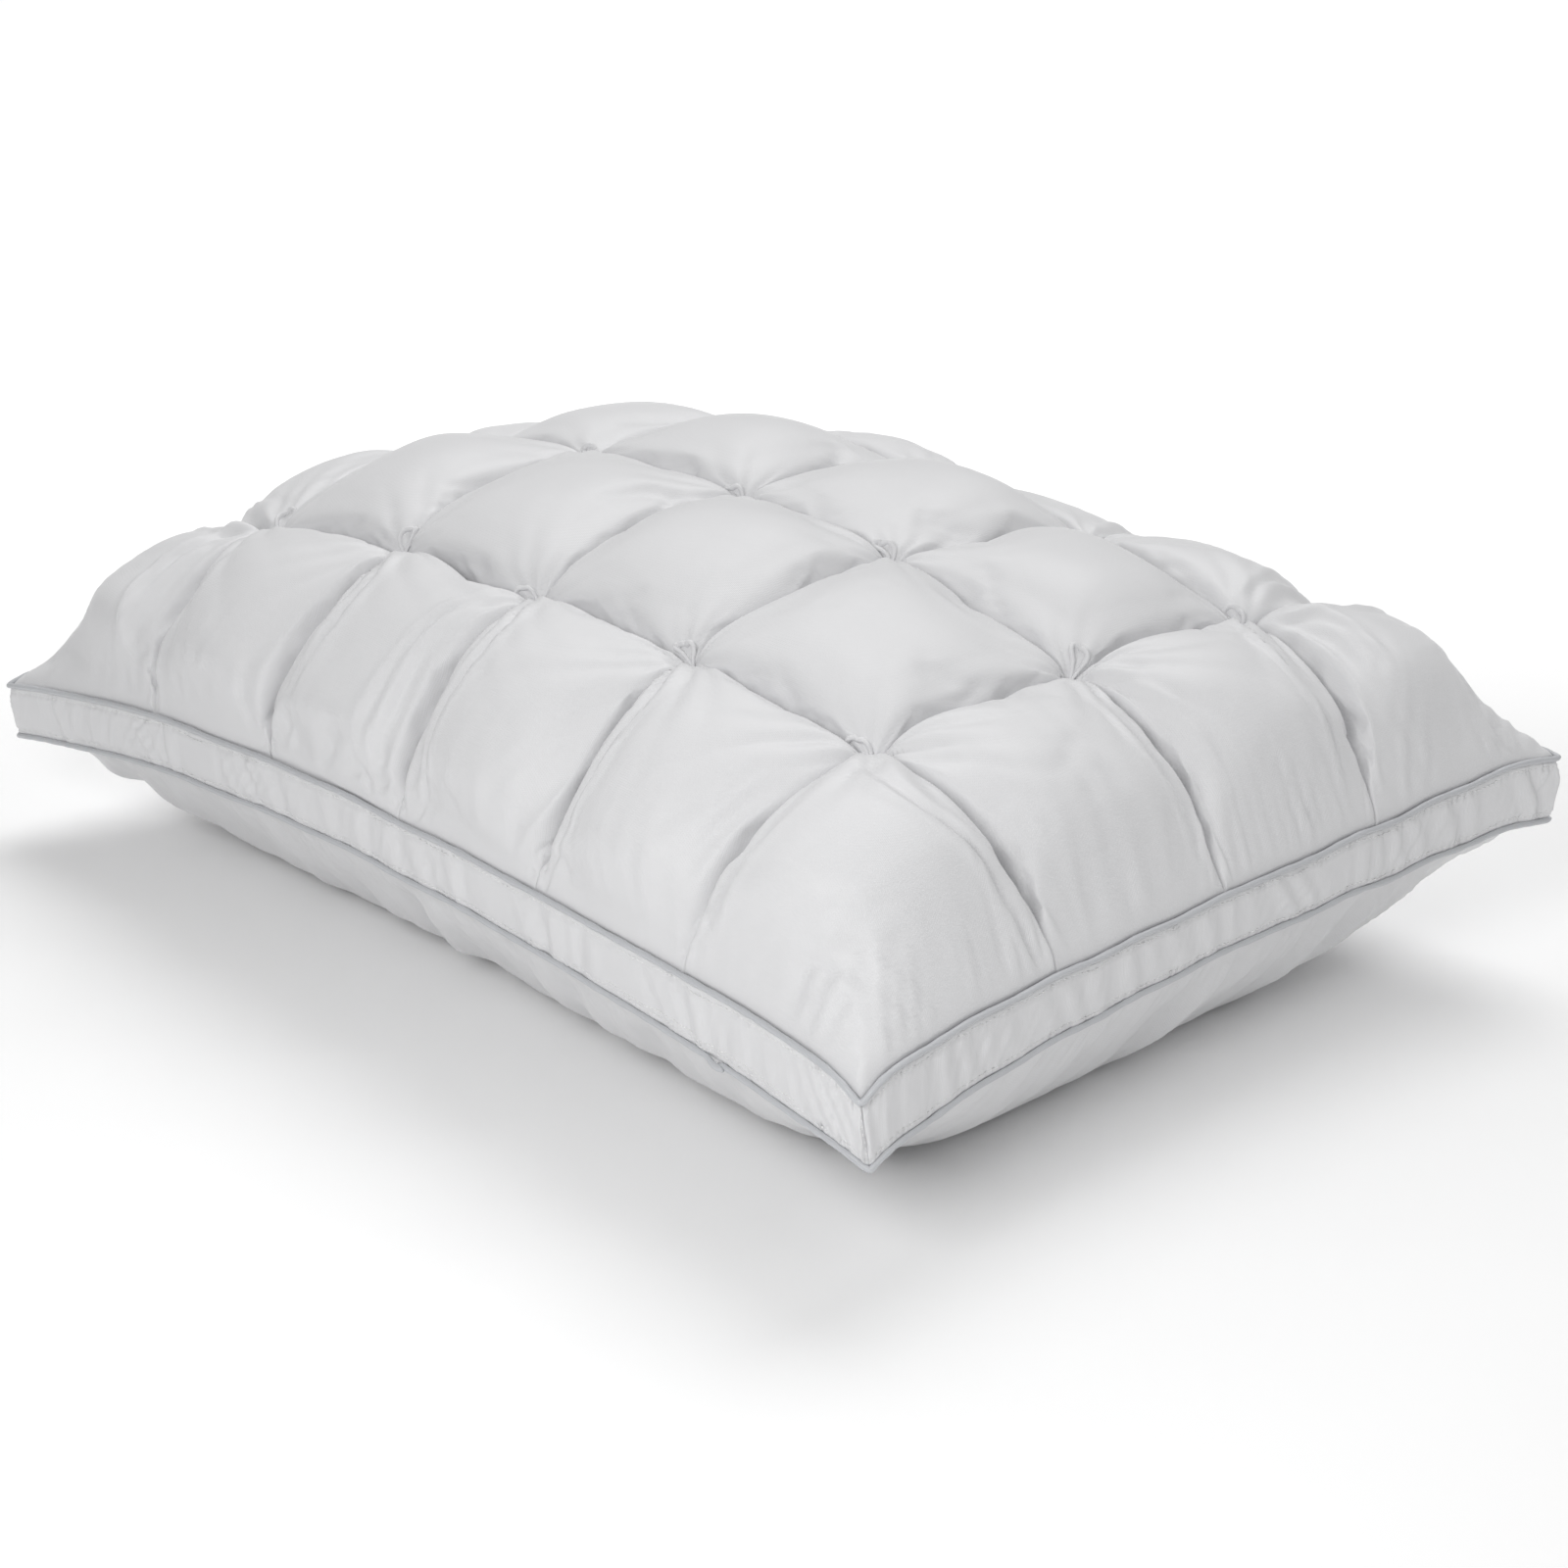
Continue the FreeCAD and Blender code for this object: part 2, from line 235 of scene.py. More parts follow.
def girdle(u, v, share, outset):
    """The band between the two rows of piping: share 0 is the lower row and 1 the upper one."""
    x, y = plan(u, v, -outset, share)
    low, high = rim_height(u, v, LOWER_RIM), rim_height(u, v, UPPER_RIM)
    return np.stack([x, y, low + (high - low) * share], -1)


def normals(points):
    n = np.cross(np.gradient(points, axis=0), np.gradient(points, axis=1))
    return n / np.linalg.norm(n, axis=-1, keepdims=True)


def unit(v):
    return v / np.linalg.norm(v, axis=-1, keepdims=True)


def crowded(cells, steps):
    """Coordinates from -1 to 1 over a number of cells, closer together at the seams."""
    cell, step = np.divmod(np.arange(cells * steps + 1), steps)
    f = step / steps
    return -1 + 2 * (cell + f - CROWDING * np.sin(2 * np.pi * f) / (2 * np.pi)) / cells


# --- quilting ---------------------------------------------------------------------------------


def in_cells(a, b):
    return (a + 1) / 2 * COLUMNS, (b + 1) / 2 * ROWS


def to_rim(a, b):
    """Roughly how far it is to the rim, in metres."""
    return (1 - np.maximum(np.abs(a), np.abs(b))) * LENGTH / 2


def off_seam(t, cells):
    """Signed distance from the nearest seam, in cells."""
    f = (t + 1) / 2 * cells
    return f - np.round(f)


def wall(t, cells, size):
    """Share of a puff's height across its cells: steep at a seam, and gentler at the rim."""
    d = np.abs(off_seam(t, cells))
    at_rim = np.abs(t) > 1 - 1.0 / cells
    steep = np.maximum(1 - (1 - np.clip(d * size / WALL_REACH, 0, 1)) ** 2.2, 0) ** 0.42
    gentle = np.sin(np.pi / 2 * np.clip(d * size / RIM_REACH, 0, 1)) ** 0.85
    return np.maximum(np.where(at_rim, gentle, steep), 1e-3)


def puff_share(a, b):
    """Share of a puff's height, and the share that each way of seams allows."""
    sa, sb = wall(a, COLUMNS, CELL[0]), wall(b, ROWS, CELL[1])
    share = (sa ** -2.5 + sb ** -2.5 - 1) ** (-1 / 2.5)
    share = np.where(np.minimum(sa, sb) < 1.1e-3, 0, share)
    return share, sa, sb


def pinches():
    return [(i, j) for i in range(1, COLUMNS) for j in range(1, ROWS)]


def from_pinches(a, b):
    """For each pinch: its column and row, and how far each point is from it both ways, in metres."""
    fa, fb = in_cells(a, b)
    for i, j in pinches():
        yield i, j, (fa - i) * CELL[0], (fb - j) * CELL[1]


def fan(rng, turn, r, outer, to_right):
    """The folds in one quarter round a pinch, one by one. turn goes from 0 to a quarter circle."""
    count = 5 if outer else 4
    cuts = np.linspace(0, np.pi / 2, count + 1)
    cuts[1:-1] += rng.uniform(-0.10, 0.10, count - 1)
    bend = rng.uniform(-0.35, 0.35)
    deeper = 1.5 if outer and to_right else 1.0
    t = turn + bend * np.sin(2 * turn) * r / 0.06
    inside = turn <= np.pi / 2
    for k in range(count):
        width = cuts[k + 1] - cuts[k]
        x = (t - cuts[k]) / width
        ridge = np.sin(np.pi * np.clip(x, 0, 1)) ** 0.75
        peak = rng.uniform(0.012, 0.028) if outer else rng.uniform(0.007, 0.013)
        height = deeper * FOLD * rng.uniform(0.5, 1.3) * width / 0.35
        rise = r / peak * np.exp(1 - r / peak)
        yield np.where(inside, height * ridge * rise, 0)


def fans(a, b):
    """Height of the folds that fan out from the pinches: round ridges with sharp hollows between."""
    rng = np.random.default_rng(SEED)
    total = np.zeros_like(a)
    for i, j, dx, dy in from_pinches(a, b):
        r = np.hypot(dx, dy)
        near = r < 0.11
        r, angle = r[near], np.arctan2(dy[near], dx[near])
        for quarter, (right, back) in enumerate(((1, 1), (-1, 1), (-1, -1), (1, -1))):
            turn = (angle - quarter * np.pi / 2) % (2 * np.pi)
            outer_column = COLUMNS - 1 if right > 0 else 1
            outer_row = ROWS - 1 if back > 0 else 1
            outer = i == outer_column or j == outer_row
            for fold in fan(rng, turn, r, outer, right > 0):
                total[near] += fold
    return total


def outer_seams(a, b):
    """For each seam from an outer pinch to the rim: how far along it, and how far to its side."""
    fa, fb = in_cells(a, b)
    for i in range(1, COLUMNS):
        for along in (1 - fb, fb - (ROWS - 1)):
            yield along, (fa - i) * CELL[0]
    for j in range(1, ROWS):
        for along in (1 - fa, fa - (COLUMNS - 1)):
            yield along, (fb - j) * CELL[1]


def long_folds(a, b):
    """Folds that run beside the outer seams, from their pinch down to the rim."""
    rng = np.random.default_rng(SEED + 2)
    total = np.zeros_like(a)
    for along, aside in outer_seams(a, b):
        near = (along > 0) & (np.abs(aside) < 0.05)
        p, q = np.clip(along[near], 0, 1), aside[near]
        for side in (-1, 1):
            for reach in np.cumsum(rng.uniform(0.007, 0.012, rng.integers(1, 4))):
                end = reach * rng.uniform(0.35, 0.8)
                middle = side * (reach * np.sin(np.pi * p ** 0.8) ** 0.7 + end * p ** 2)
                width = rng.uniform(0.0022, 0.0040)
                height = LONG_FOLD * rng.uniform(0.5, 1.2)
                stop = rng.uniform(0.65, 1.25)
                run = smooth(p / 0.12) * smooth((stop - p) / 0.35) * smooth((1 - p) / 0.05)
                ridge = np.exp(-(((q - middle) / width) ** 2))
                hollow = np.exp(-(((q - middle + side * 1.7 * width) / (0.9 * width)) ** 2))
                total[near] += height * run * (ridge - 0.8 * hollow)
    return total


def pleats(a, b):
    """The narrow tuck where each outer seam is sewn in under the piping."""
    rng = np.random.default_rng(SEED + 3)
    total = np.zeros_like(a)
    for along, aside in outer_seams(a, b):
        near = (along > 0) & (np.abs(aside) < 0.03)
        p, q = np.clip(along[near], 0, 1), aside[near] * rng.choice([-1, 1])
        tall, wide = rng.uniform(0.25, 0.45), rng.uniform(0.003, 0.0045)
        run = smooth((p - 1 + tall) / tall) * smooth((1 - p) / 0.04)
        total[near] += PLEAT * run * smooth(q / 0.0012) * smooth((wide + 0.003 - q) / 0.003)
    return total


def rim_puckers(a, b):
    """Fine gathers that run up into the quilt from the piping."""
    u, v = outline_of(a, b)
    x, y = plan(u, v, 0)
    out = np.zeros_like(a)
    for axis, (edge, other, along, size) in enumerate(((v, u, x, WIDTH), (u, v, y, LENGTH))):
        calm = 1 - 0.65 * smooth((np.abs(other) - 0.86) / 0.10)
        for side in (-1, 1):
            d = (1 - side * edge) * size / 2
            slant = 0.45 * waves(20 + axis * 3 + side, 0.15, along)
            n = waves(40 + axis * 3 + side, 0.012, along + slant * d, spread=0.4)
            n += 0.8 * waves(60 + axis * 3 + side, 0.022, along - slant * d)
            n = np.maximum(n, -0.6 * np.abs(n) ** 0.5)
            swell = 0.75 + 0.35 * waves(80 + axis * 3 + side, 0.09, along)
            out += RIM_PUCKER * n * swell * calm * smooth(d / 0.007) * np.exp(-d / 0.026)
    return out


def fullness(a, b):
    """How full each puff is, where 1 is a puff in the middle."""
    right, left, ends = a > 1 - 2 / COLUMNS, a < -1 + 2 / COLUMNS, np.abs(b) > 1 - 2 / ROWS
    full = 1 + FULLNESS[0] * ends + FULLNESS[1] * right
    full = full + FULLNESS[2] * (right & ends & (b < 0)) + FULLNESS[3] * (right & ends & (b > 0))
    return full + FULLNESS[4] * (left & ends)


def puff_lift(a, b, x, y, share):
    """How far the cloth stands off the crowned surface, before its folds."""
    da, db = off_seam(a, COLUMNS), off_seam(b, ROWS)
    lift = WALL * share * fullness(a, b) * (1 + 0.07 * waves(5, 0.12, x, y))
    lift = lift + DOME * (np.sin(np.pi * np.abs(da)) * np.sin(np.pi * np.abs(db))) ** 0.8
    arch_a, arch_b = np.sin(np.pi * da) ** 2, np.sin(np.pi * db) ** 2
    arch = arch_a + arch_b - arch_a * arch_b
    rim = np.maximum(np.abs(a), np.abs(b))
    lift = lift - SEAM_DROP * (1 - share) * arch * smooth((1 - rim) / 0.10)
    for _, _, dx, dy in from_pinches(a, b):
        r = np.hypot(dx, dy)
        lift = lift * (1 - PINCH_TAPER * np.exp(-((r / PINCH_REACH) ** 2)))
        lift = lift - PINCH_DEPTH * np.exp(-((r / PINCH_RADIUS) ** 2))
    return lift


def seam_lean(t, cells, size, height, close):
    """How the cloth beside a seam leans out over it. The half cell along the rim doesn't lean."""
    d = off_seam(t, cells)
    reach = np.clip(np.abs(d) * size / LEAN_REACH, 0, 1)
    lean = -np.sign(d) * np.sin(np.pi * reach) * height * close
    return lean * np.where(np.abs(t) > 1 - 1 / cells, 0, 1)


def quilt_points(a, b, fine=False):
    """The quilt's cloth as drawn, with its fine folds or without them for the simulation."""
    share, sa, sb = puff_share(a, b)
    base = dome(a, b)
    rim = np.maximum(np.abs(a), np.abs(b))
    inner = smooth((1 - rim) / 0.22)[..., None]
    up = np.array([0, 0, 1.0])
    out = unit(normals(base) * (0.25 + 0.75 * inner) + up * (1.0 - 0.75 * inner))
    lift = puff_lift(a, b, base[..., 0], base[..., 1], share)
    if fine:
        lift = lift + rim_puckers(a, b) + fans(a, b) + long_folds(a, b) + pleats(a, b)
    downhill = normals(base) * np.array([1, 1, 0])
    points = base + out * lift[..., None] + SLUMP * downhill * (share * inner[..., 0])[..., None]
    along_a = unit(np.gradient(base, axis=0))
    along_b = unit(np.gradient(base, axis=1))
    close = smooth((1 - rim) / 0.06)
    lean_a = seam_lean(a, COLUMNS, CELL[0], sb, close)
    lean_b = seam_lean(b, ROWS, CELL[1], sa, close)
    return points + OVERHANG * (along_a * lean_a[..., None] + along_b * lean_b[..., None])


def gathered(points, a, b):
    """The cloth before it was pinched: round each pinch it spreads further out."""
    loose = points.copy()
    for i, j, dx, dy in from_pinches(a, b):
        centre = points[i * (points.shape[0] - 1) // COLUMNS, j * (points.shape[1] - 1) // ROWS]
        r = np.hypot(dx, dy)
        way = points - centre
        way = way / np.maximum(np.linalg.norm(way, axis=-1, keepdims=True), 1e-6)
        loose += way * (PINCH_CLOTH * np.exp(-r / PINCH_FADE) * smooth(r / 0.004))[..., None]
    return loose


# --- simulation -------------------------------------------------------------------------------


def add_cloth(piece, uncut, pinned, loose):
    """Gives a piece the Cloth modifier. uncut is its rest shape, and loose is 1 at the rim."""
    piece.shape_key_add(name="Basis")
    key = piece.shape_key_add(name="uncut")
    key.data.foreach_set("co", uncut.reshape(-1))
    sewn = piece.vertex_groups.new(name="sewn")
    sewn.add(np.flatnonzero(pinned.reshape(-1)).tolist(), 1.0, "REPLACE")
    tight = piece.vertex_groups.new(name="tight")
    for number, share in enumerate(1 - loose.reshape(-1)):
        tight.add([number], share, "REPLACE")
    cloth = piece.modifiers.new("cloth", "CLOTH")
    cloth.point_cache.frame_start = 1
    cloth.point_cache.frame_end = CLOTH_FRAMES + 1
    settings = cloth.settings
    settings.quality = 6
    settings.mass = 0.12
    settings.tension_stiffness = 30
    settings.compression_stiffness = 30
    settings.shear_stiffness = 8
    settings.bending_stiffness = CLOTH_BENDING
    settings.air_damping = 2
    settings.vertex_group_mass = "sewn"
    settings.rest_shape_key = key
    settings.vertex_group_shrink = "tight"
    settings.shrink_min = -EXTRA_CLOTH[1]
    settings.shrink_max = -EXTRA_CLOTH[0]
    settings.use_pressure = True
    settings.uniform_pressure_force = CLOTH_PRESSURE
    settings.effector_weights.gravity = 0


def settle(start, uncut, pinned, loose):
    """Lets a grid of cloth settle under pressure, and returns how far each point moves."""
    scene = bpy.context.scene
    mesh = bpy.data.meshes.new("settling")
    mesh.from_pydata(start.reshape(-1, 3).tolist(), [], grid_faces(*start.shape[:2]))
    piece = bpy.data.objects.new("settling", mesh)
    scene.collection.objects.link(piece)
    add_cloth(piece, uncut, pinned, loose)
    for frame_number in range(1, CLOTH_FRAMES + 1):
        scene.frame_set(frame_number)
    found = np.empty(start.size)
    settled = piece.evaluated_get(bpy.context.evaluated_depsgraph_get())
    settled.data.vertices.foreach_get("co", found)
    bpy.data.objects.remove(piece)
    bpy.data.meshes.remove(mesh)
    scene.frame_set(1)
    return found.reshape(start.shape) - start


def doubled(field, cell_steps, axis):
    """A field on a grid of twice as many steps, smooth inside each cell."""
    field = np.moveaxis(field, axis, 0)
    n = field.shape[0] - 1
    i = np.arange(n)
    first = i % cell_steps == 0
    last = i % cell_steps == cell_steps - 1
    before = field[np.where(first, i, i - 1)]
    after = field[np.where(last, i + 1, np.minimum(i + 2, n))]
    out = np.empty((2 * n + 1, *field.shape[1:]))
    out[::2] = field
    out[1::2] = (9 * (field[i] + field[i + 1]) - before - after) / 16
    return np.moveaxis(out, 0, axis)


def settled_top():
    """How the simulated quilt cloth moves off its drawn shape."""
    steps = (CELL_STEPS[0] // 2, CELL_STEPS[1] // 2)
    a, b = np.meshgrid(crowded(COLUMNS, steps[0]), crowded(ROWS, steps[1]), indexing="ij")
    start = quilt_points(a, b)
    pinned = np.zeros(a.shape, bool)
    pinned[:: steps[0]] = True
    pinned[:, :: steps[1]] = True
    loose = np.exp(-to_rim(a, b) / EXTRA_REACH)
    move = settle(start, gathered(start, a, b), pinned, loose)
    return doubled(doubled(move, steps[0], 0), steps[1], 1)


# --- making pieces ----------------------------------------------------------------------------


def new_piece(name, points, faces, material):
    mesh = bpy.data.meshes.new(name)
    mesh.from_pydata(points.tolist(), [], [list(map(int, f)) for f in faces])
    mesh.polygons.foreach_set("use_smooth", np.ones(len(mesh.polygons), bool))
    mesh.materials.append(material)
    piece = bpy.data.objects.new(name, mesh)
    bpy.context.scene.collection.objects.link(piece)
    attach(piece, "root")
    return piece


def grid_faces(nx, ny, start=0, step=1, flip=False):
    """Quads over a grid of points, or over every step-th row and column of it."""
    index = start + np.arange(nx * ny).reshape(nx, ny)
    index = index[::step, ::step]
    corners = [index[:-1, :-1], index[1:, :-1], index[1:, 1:], index[:-1, 1:]]
    if flip:
        corners.reverse()
    return np.stack(corners, -1).reshape(-1, 4).tolist()


def border_of(index):
    """The grid's border, once round, anticlockwise as seen from above."""
    return np.concatenate([index[:-1, 0], index[-1, :-1], index[:0:-1, -1], index[0, :0:-1]])


def quilted_top(material):
    """The quilt as a closed cushion, and the points of its cloth."""
    a, b = np.meshgrid(crowded(COLUMNS, CELL_STEPS[0]), crowded(ROWS, CELL_STEPS[1]), indexing="ij")
    points = quilt_points(a, b, fine=True)
    rim = to_rim(a, b)
    move = settled_top() * smooth((rim - STILL_RIM) / (FREE_RIM - STILL_RIM))[..., None]
    outward = unit(normals(dome(a, b)) * np.array([1, 1, 1e-6]))
    over = np.maximum((move * outward).sum(-1), 0) * (1 - smooth((rim - 0.01) / 0.04))
    points = points + move - outward * over[..., None]
    under = dome(a, b, PANEL_INSET + 0.002)
    under[..., 2] -= 0.0008 + 0.007 * smooth((1 - np.maximum(np.abs(a), np.abs(b))) / 0.1)
    return closed_form("quilted_top", points, under, material, False), points


def closed_form(name, cloth, back, material, flip):
    """A cloth grid closed behind by a coarser one. flip is for a cloth that faces down."""
    nx, ny = cloth.shape[:2]
    index = np.arange(nx * ny).reshape(nx, ny)
    coarse = back[::BACK_STEP, ::BACK_STEP]
    cx, cy = coarse.shape[:2]
    points = np.concatenate([cloth.reshape(-1, 3), coarse.reshape(-1, 3)])
    faces = grid_faces(nx, ny, flip=flip) + grid_faces(cx, cy, start=nx * ny, flip=not flip)
    fine_ring = border_of(index)
    back_ring = border_of(nx * ny + np.arange(cx * cy).reshape(cx, cy))
    n = len(back_ring)
    for k in range(n):
        run = [fine_ring[(k * BACK_STEP + m) % len(fine_ring)] for m in range(BACK_STEP + 1)]
        face = run[::-1] + [back_ring[k], back_ring[(k + 1) % n]]
        faces.append(face[::-1] if flip else face)
    return new_piece(name, points, faces, material)


def bottom_cushion(material):
    """The bottom panel and the core as one closed cushion, flat where it rests."""
    a, b = np.meshgrid(*(np.linspace(-1, 1, count) for count in BELLY_GRID), indexing="ij")
    points = belly(a, b)
    out = -normals(points)
    x, y = points[..., 0], points[..., 1]
    free = smooth(points[..., 2] / 0.03)
    u, v = outline_of(a, b)
    rim = np.minimum((1 - np.abs(u)) * LENGTH / 2, (1 - np.abs(v)) * WIDTH / 2)
    around = np.where((1 - np.abs(u)) * LENGTH < (1 - np.abs(v)) * WIDTH, y, x)
    folds = BELLY_FOLD * waves(101, 0.035, around + 0.5 * rim, 0.4 * rim)
    gathers = BELLY_GATHER * waves(102, 0.012, around + 0.2 * rim, 0.3 * rim)
    lift = (folds * smooth(rim / 0.02) + gathers * np.exp(-rim / 0.03) * smooth(rim / 0.004)) * free
    points = points + out * lift[..., None]
    points[..., 2] = np.maximum(points[..., 2], 0)
    back = dome(a, b, CORE_INSET)
    back[..., 2] -= 0.003 + 0.0065 * smooth((1 - np.maximum(np.abs(a), np.abs(b))) / 0.1)
    return closed_form("bottom_cushion", points, back, material, True)


SIDES = {
    "front": lambda t: (t, -1.0 + 0 * t),
    "right": lambda t: (1.0 + 0 * t, t),
    "back": lambda t: (-t, 1.0 + 0 * t),
    "left": lambda t: (-1.0 + 0 * t, -t),
}
SIDE_NAMES = list(SIDES)


def half_length(side):
    return (LENGTH if side in ("front", "back") else WIDTH) / 2


def side_places(count):
    """Places along a side from -1 to 1, closer together at the corners."""
    t = np.linspace(-1, 1, count)
    return np.sign(t) * (1 - (1 - np.abs(t)) ** 1.25)


def bump(x, middle, width):
    return np.exp(-(((x - middle) / width) ** 2))


def gusset_surface(side, s, h, extra=0.0):
    """The outside of one gusset strip. h runs up it from the lower piping to the upper one."""
    seed = 200 + 20 * SIDE_NAMES.index(side)
    x = s * half_length(side)
    band = 4 * h * (1 - h)
    tall = 0.03 * h
    slant = 0.010 * (h - 0.5) * (1 + waves(seed, 0.12, x))
    swell = 0.55 + 0.45 * np.abs(s) ** 3 + 0.3 * waves(seed + 2, 0.10, x)
    folds = waves(seed + 1, 0.026, x + slant, spread=0.5) * swell
    small = waves(seed + 3, 0.011, x - slant, 0.3 * tall, spread=0.4)
    fine = waves(seed + 4, 0.0042, x, spread=0.3)
    stitched = bump(h, STITCH_SHARES[0], 0.07) + bump(h, STITCH_SHARES[1], 0.07)
    groove = bump(h, STITCH_SHARES[0], 0.025) + bump(h, STITCH_SHARES[1], 0.025)
    to_end = (1 - np.abs(s)) * half_length(side)
    corner = np.exp(-np.abs(to_end) / 0.006)
    calm = 1 - np.exp(-to_end / 0.004)
    ridge = 0.0045 + 0.0010 * waves(seed + 6, 0.02, tall)
    lap = np.where(s > 0, GUSSET_LAP * bump(to_end, ridge, 0.0022), 0)
    lap = lap * smooth(h / 0.15) * smooth((1 - h) / 0.15)
    lap = lap - 0.0004 * np.exp(-to_end / 0.0010)
    outset = GUSSET_BULGE * band + GUSSET_FOLD * (folds + 0.35 * small * swell) * band ** 0.7 * calm
    outset = outset + 0.00030 * fine * stitched * calm - 0.0005 * groove + lap
    outset = outset + 0.0008 * corner * waves(seed + 5, 0.018, tall, x) * band * calm
    outset = outset - GUSSET_TUCK * (1 - smooth(h / 0.07) * smooth((1 - h) / 0.07))
    u, v = SIDES[side](s)
    return girdle(u, v, h, outset + extra)


def gusset_cloth(side, material):
    columns = round(half_length(side) * 2 / GUSSET_STEP)
    s, h = np.meshgrid(side_places(columns), np.linspace(0.01, 0.99, GUSSET_ROWS), indexing="ij")
    points = gusset_surface(side, s, h)
    inner = gusset_surface(side, s, h, -GUSSET_CLOTH)
    nx, ny = points.shape[:2]
    flat = np.concatenate([points.reshape(-1, 3), inner.reshape(-1, 3)])
    faces = grid_faces(nx, ny) + grid_faces(nx, ny, start=nx * ny, flip=True)
    ring = border_of(np.arange(nx * ny).reshape(nx, ny))
    for k in range(len(ring)):
        p, q = ring[k], ring[(k + 1) % len(ring)]
        faces.append([q, p, p + nx * ny, q + nx * ny])
    return new_piece(f"gusset_cloth_{side}", flat, faces, material)


def stitch_row(points, outs, radius):
    """Small stitches, one from each pair of points to the next, with their ends sunk in the cloth."""
    starts, ends = points[0::2], points[1::2]
    outs = outs[0::2]
    n = min(len(starts), len(ends))
    starts, ends, outs = starts[:n], ends[:n], outs[:n]
    ahead = unit(ends - starts)
    across = unit(np.cross(ahead, outs))
    ring, sides = [], STITCH_SIDES
    turn = np.linspace(0, 2 * np.pi, sides, endpoint=False)
    for place, size, rise in STITCH_SHAPE:
        centre = starts + (ends - starts) * place + outs * radius * rise
        for angle in turn:
            way = across * np.cos(angle) + outs * np.sin(angle)
            ring.append(centre + way * radius * size)
    points = np.stack(ring, 1).reshape(-1, 3)
    per = len(ring)
    last_ring = per - sides
    faces = []
    for k in range(n):
        base = k * per
        for r in range(len(STITCH_SHAPE) - 1):
            for c in range(sides):
                d = (c + 1) % sides
                low = base + r * sides
                faces.append([low + c, low + d, low + sides + d, low + sides + c])
        faces.append([base + c for c in range(sides)][::-1])
        faces.append([base + last_ring + c for c in range(sides)])
    return points, faces


def joined(parts):
    """Several sets of points and faces as one."""
    points, faces, start = [], [], 0
    for part_points, part_faces in parts:
        points.append(part_points)
        faces += [[start + c for c in face] for face in part_faces]
        start += len(part_points)
    return np.concatenate(points), faces


def stitches_along(side, share, start, end, pitch):
    """One run of topstitch on the gusset."""
    length = (end - start) * half_length(side)
    count = int(length / pitch)
    places = start + (end - start) * (np.arange(count)[:, None] + np.array([0.0, STITCH_SHARE])) / count
    s = places.reshape(-1)
    h = share + 0.012 * waves(300 + SIDE_NAMES.index(side), 0.05, s * half_length(side))
    on = gusset_surface(side, s, h)
    outs = unit(gusset_surface(side, s, h, 0.001) - on)
    return stitch_row(on, outs, THREAD_RADIUS)


def topstitch(name, share, material):
    points, faces = joined([stitches_along(side, share, -0.985, 0.985, STITCH) for side in SIDES])
    return new_piece(name, points, faces, material)


def closing_stitches(material):
    """The second row that shuts the filling opening, on the front side."""
    points, faces = stitches_along("front", 0.22, *CLOSING_SPAN, STITCH * 0.8)
    return new_piece("closing_stitches", points, faces, material)


def corner_stitches(material):
    """The upright seams of the gusset, beside each corner."""
    rows = []
    for side in SIDES:
        h = np.linspace(0.12, 0.88, 2 * 8)
        s = 1 - (0.0016 + 0.0004 * waves(320, 0.012, h * 0.03)) / half_length(side)
        on = gusset_surface(side, s, h)
        rows.append(stitch_row(on, unit(gusset_surface(side, s, h, 0.001) - on), THREAD_RADIUS))
    points, faces = joined(rows)
    return new_piece("corner_stitches", points, faces, material)


def pinch_loops(surface, material):
    """At each pinch, a small loop of the gathered cloth that lies back over the next cell."""
    rng = np.random.default_rng(SEED + 1)
    t = np.linspace(0, 1, 41)
    turn = np.linspace(0, 2 * np.pi, 12, endpoint=False)[None, :, None]
    out = normals(surface)
    parts = []
    for i, j in pinches():
        lean = math.radians(137) + rng.uniform(-0.35, 0.35)
        long, wide = rng.uniform(0.012, 0.019), rng.uniform(0.0032, 0.0048)
        skew = rng.choice([-1, 1]) * rng.uniform(0.002, 0.005)
        along = long * np.sin(np.pi * t) ** 0.8
        swell = 0.35 + 0.65 * np.sin(np.pi * t)
        aside = wide * np.sin(2 * np.pi * t) * swell + skew * np.sin(np.pi * t) ** 2
        dx = along * math.cos(lean) - aside * math.sin(lean)
        dy = along * math.sin(lean) + aside * math.cos(lean)
        place = sample(surface, i + dx / CELL[0], j + dy / CELL[1])
        rise = unit(sample(out, i + dx / CELL[0], j + dy / CELL[1]))
        path = place + rise * (0.0007 * np.sin(np.pi * t)[:, None] ** 0.5 - 0.0003)
        ahead = unit(np.gradient(path, axis=0))
        across = unit(np.cross(ahead, rise))
        up = np.cross(across, ahead)
        size = (0.0009 + 0.0009 * np.sin(np.pi * t) ** 0.7)[:, None, None]
        section = across[:, None] * np.cos(turn) * 0.8 + up[:, None] * np.sin(turn) * 1.1
        parts.append(tube_faces(path[:, None] + size * section))
    points, faces = joined(parts)
    return new_piece("pinch_loops", points, faces, material)


def sample(field, fa, fb):
    """The field of the quilt's grid at places given in cells."""
    a_lines, b_lines = in_cells(crowded(COLUMNS, CELL_STEPS[0]), crowded(ROWS, CELL_STEPS[1]))
    ia = np.interp(fa, a_lines, np.arange(len(a_lines)))
    ib = np.interp(fb, b_lines, np.arange(len(b_lines)))
    p, q = np.floor(ia).astype(int), np.floor(ib).astype(int)
    x, y = (ia - p)[:, None], (ib - q)[:, None]
    low = field[p, q] * (1 - x) + field[p + 1, q] * x
    high = field[p, q + 1] * (1 - x) + field[p + 1, q + 1] * x
    return low * (1 - y) + high * y


